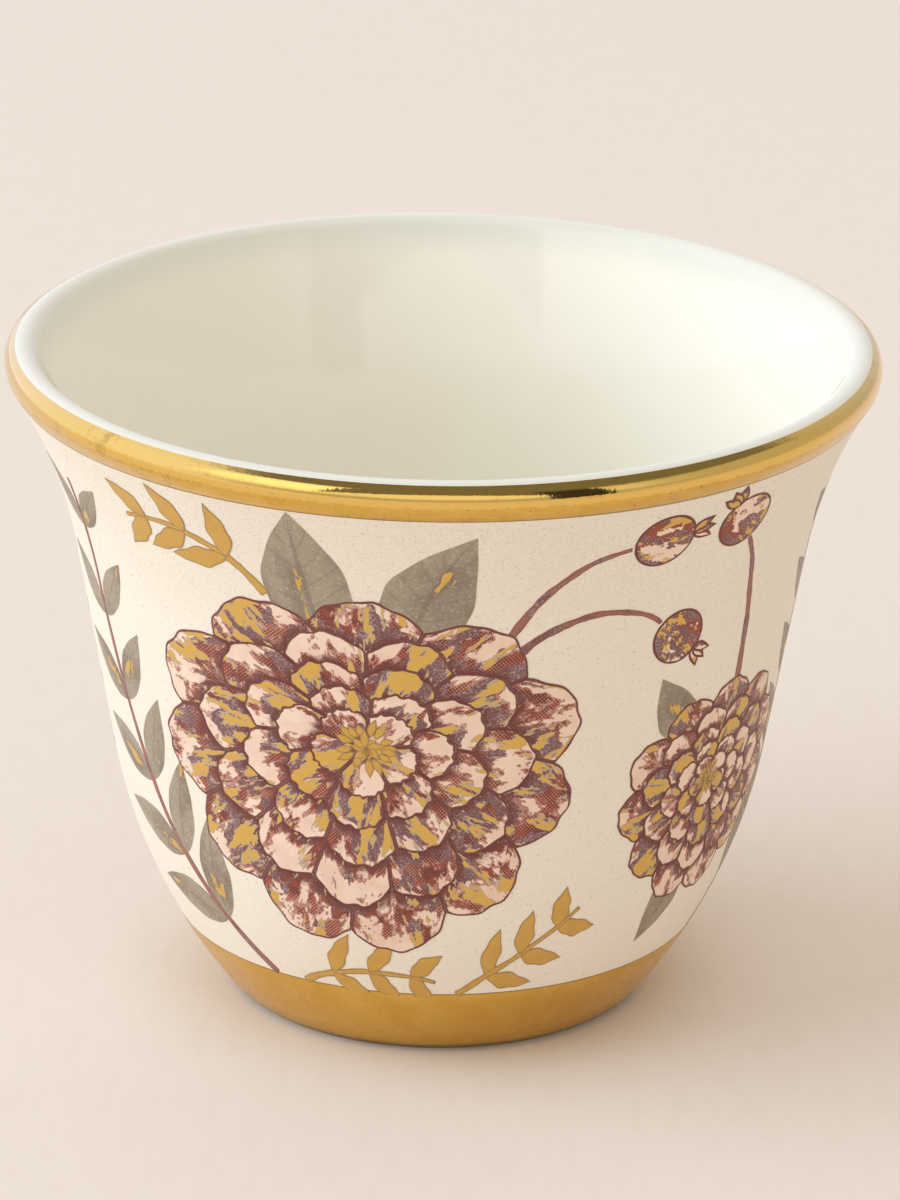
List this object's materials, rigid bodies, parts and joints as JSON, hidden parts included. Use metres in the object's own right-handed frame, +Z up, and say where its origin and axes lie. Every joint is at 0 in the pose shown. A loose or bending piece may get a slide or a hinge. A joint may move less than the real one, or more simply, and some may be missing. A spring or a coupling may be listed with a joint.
{
  "type": "arabic coffee cup",
  "caption": "Handleless porcelain coffee cup with a flared rounded lip, round belly, foot ring, gold bands and a flower transfer round the wall.",
  "frame": {"origin": "middle of the foot ring, on the surface the cup stands on", "axes": "+Z up along the cup's axis of revolution, -Y towards the front of the flower transfer, +X to the viewer's right"},
  "size_m": [0.0682, 0.0682, 0.053],
  "materials": {
    "porcelain": "unglazed matt, fine grained",
    "white_glaze": "glossy",
    "ivory_ground": "satin, finely speckled",
    "gold": "burnished over the lip, satin on the ground",
    "petal_colour": "satin printed colour, plum and pink with gold touches",
    "hip_colour": "satin printed colour",
    "stem_colour": "satin printed colour",
    "leaf_colour": "satin printed colour, taupe",
    "print_gold": "matt printed gold"
  },
  "bodies": {
    "root": {"porcelain_body": "porcelain", "inner_glaze": "white_glaze", "outer_ground": "ivory_ground", "base_glaze": "white_glaze", "rim_gilding": "gold", "foot_gilding": "gold", "dahlia_outer_petals": "petal_colour", "dahlia_inner_petals": "petal_colour", "dahlia_hearts": "print_gold", "rose_hips": "hip_colour", "stem_print": "stem_colour", "leaf_print": "leaf_colour", "gold_sprigs": "print_gold"}
  },
  "joints": []
}
